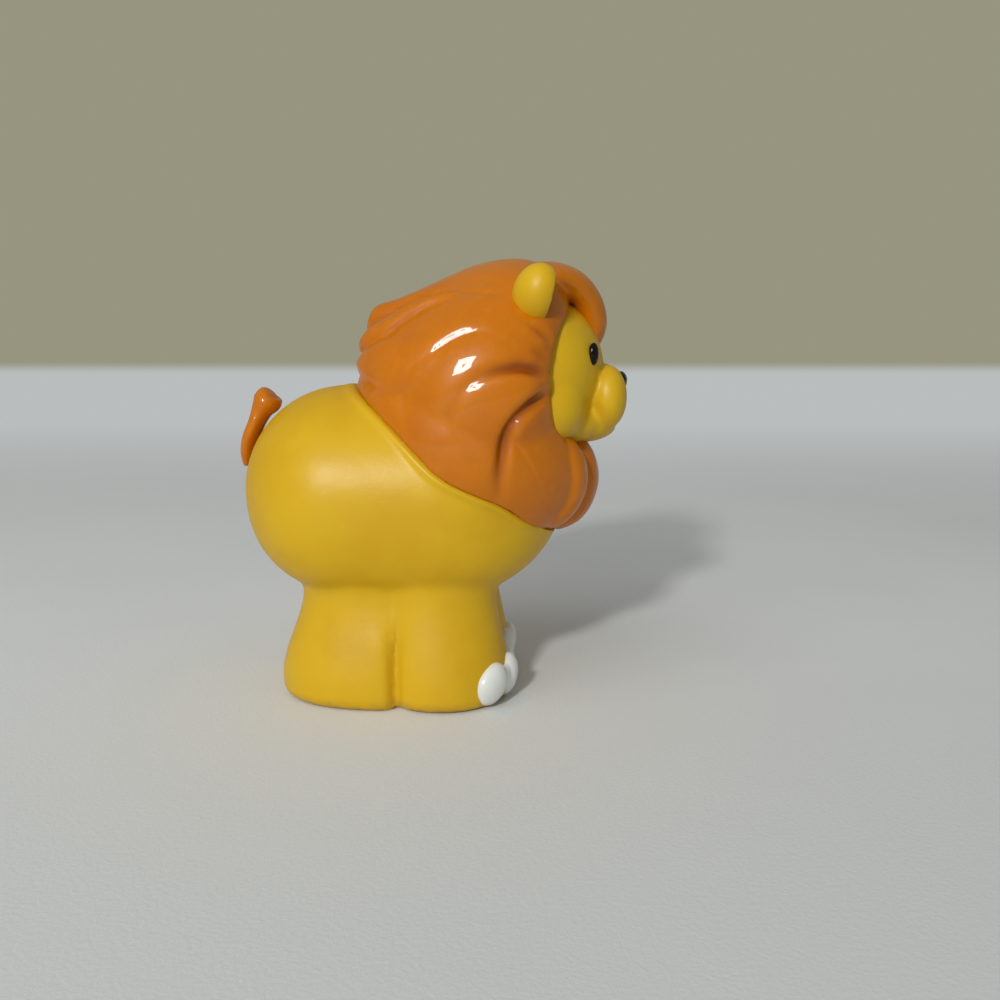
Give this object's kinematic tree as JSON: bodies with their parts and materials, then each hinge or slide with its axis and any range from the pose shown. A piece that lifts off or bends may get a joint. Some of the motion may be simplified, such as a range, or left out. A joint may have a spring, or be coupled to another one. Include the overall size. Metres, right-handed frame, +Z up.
{
  "type": "toy wild animal figure",
  "caption": "Chunky moulded toy lion for a small child: round yellow body on fused short legs, wide mane of sculpted locks, small round ears, tuft tail.",
  "frame": {"origin": "on the floor under the middle of the bounding box", "axes": "+X forward to the nose, +Y to the lion's left, +Z up"},
  "size_m": [0.068, 0.0454, 0.0747],
  "materials": {
    "body_yellow": "satin moulded vinyl, warm yellow",
    "mane_orange": "high gloss moulded vinyl, brown orange",
    "eye_black": "glossy black enamel",
    "toe_white": "white enamel, half gloss"
  },
  "bodies": {
    "root": {"body_shell": "body_yellow", "base_plug": "body_yellow", "head": "body_yellow", "ear_left": "body_yellow", "ear_right": "body_yellow", "mane": "mane_orange", "tail": "mane_orange", "nose": "eye_black", "eye_left": "eye_black", "eye_right": "eye_black", "toes_front_left": "toe_white", "toes_front_right": "toe_white"}
  },
  "joints": []
}
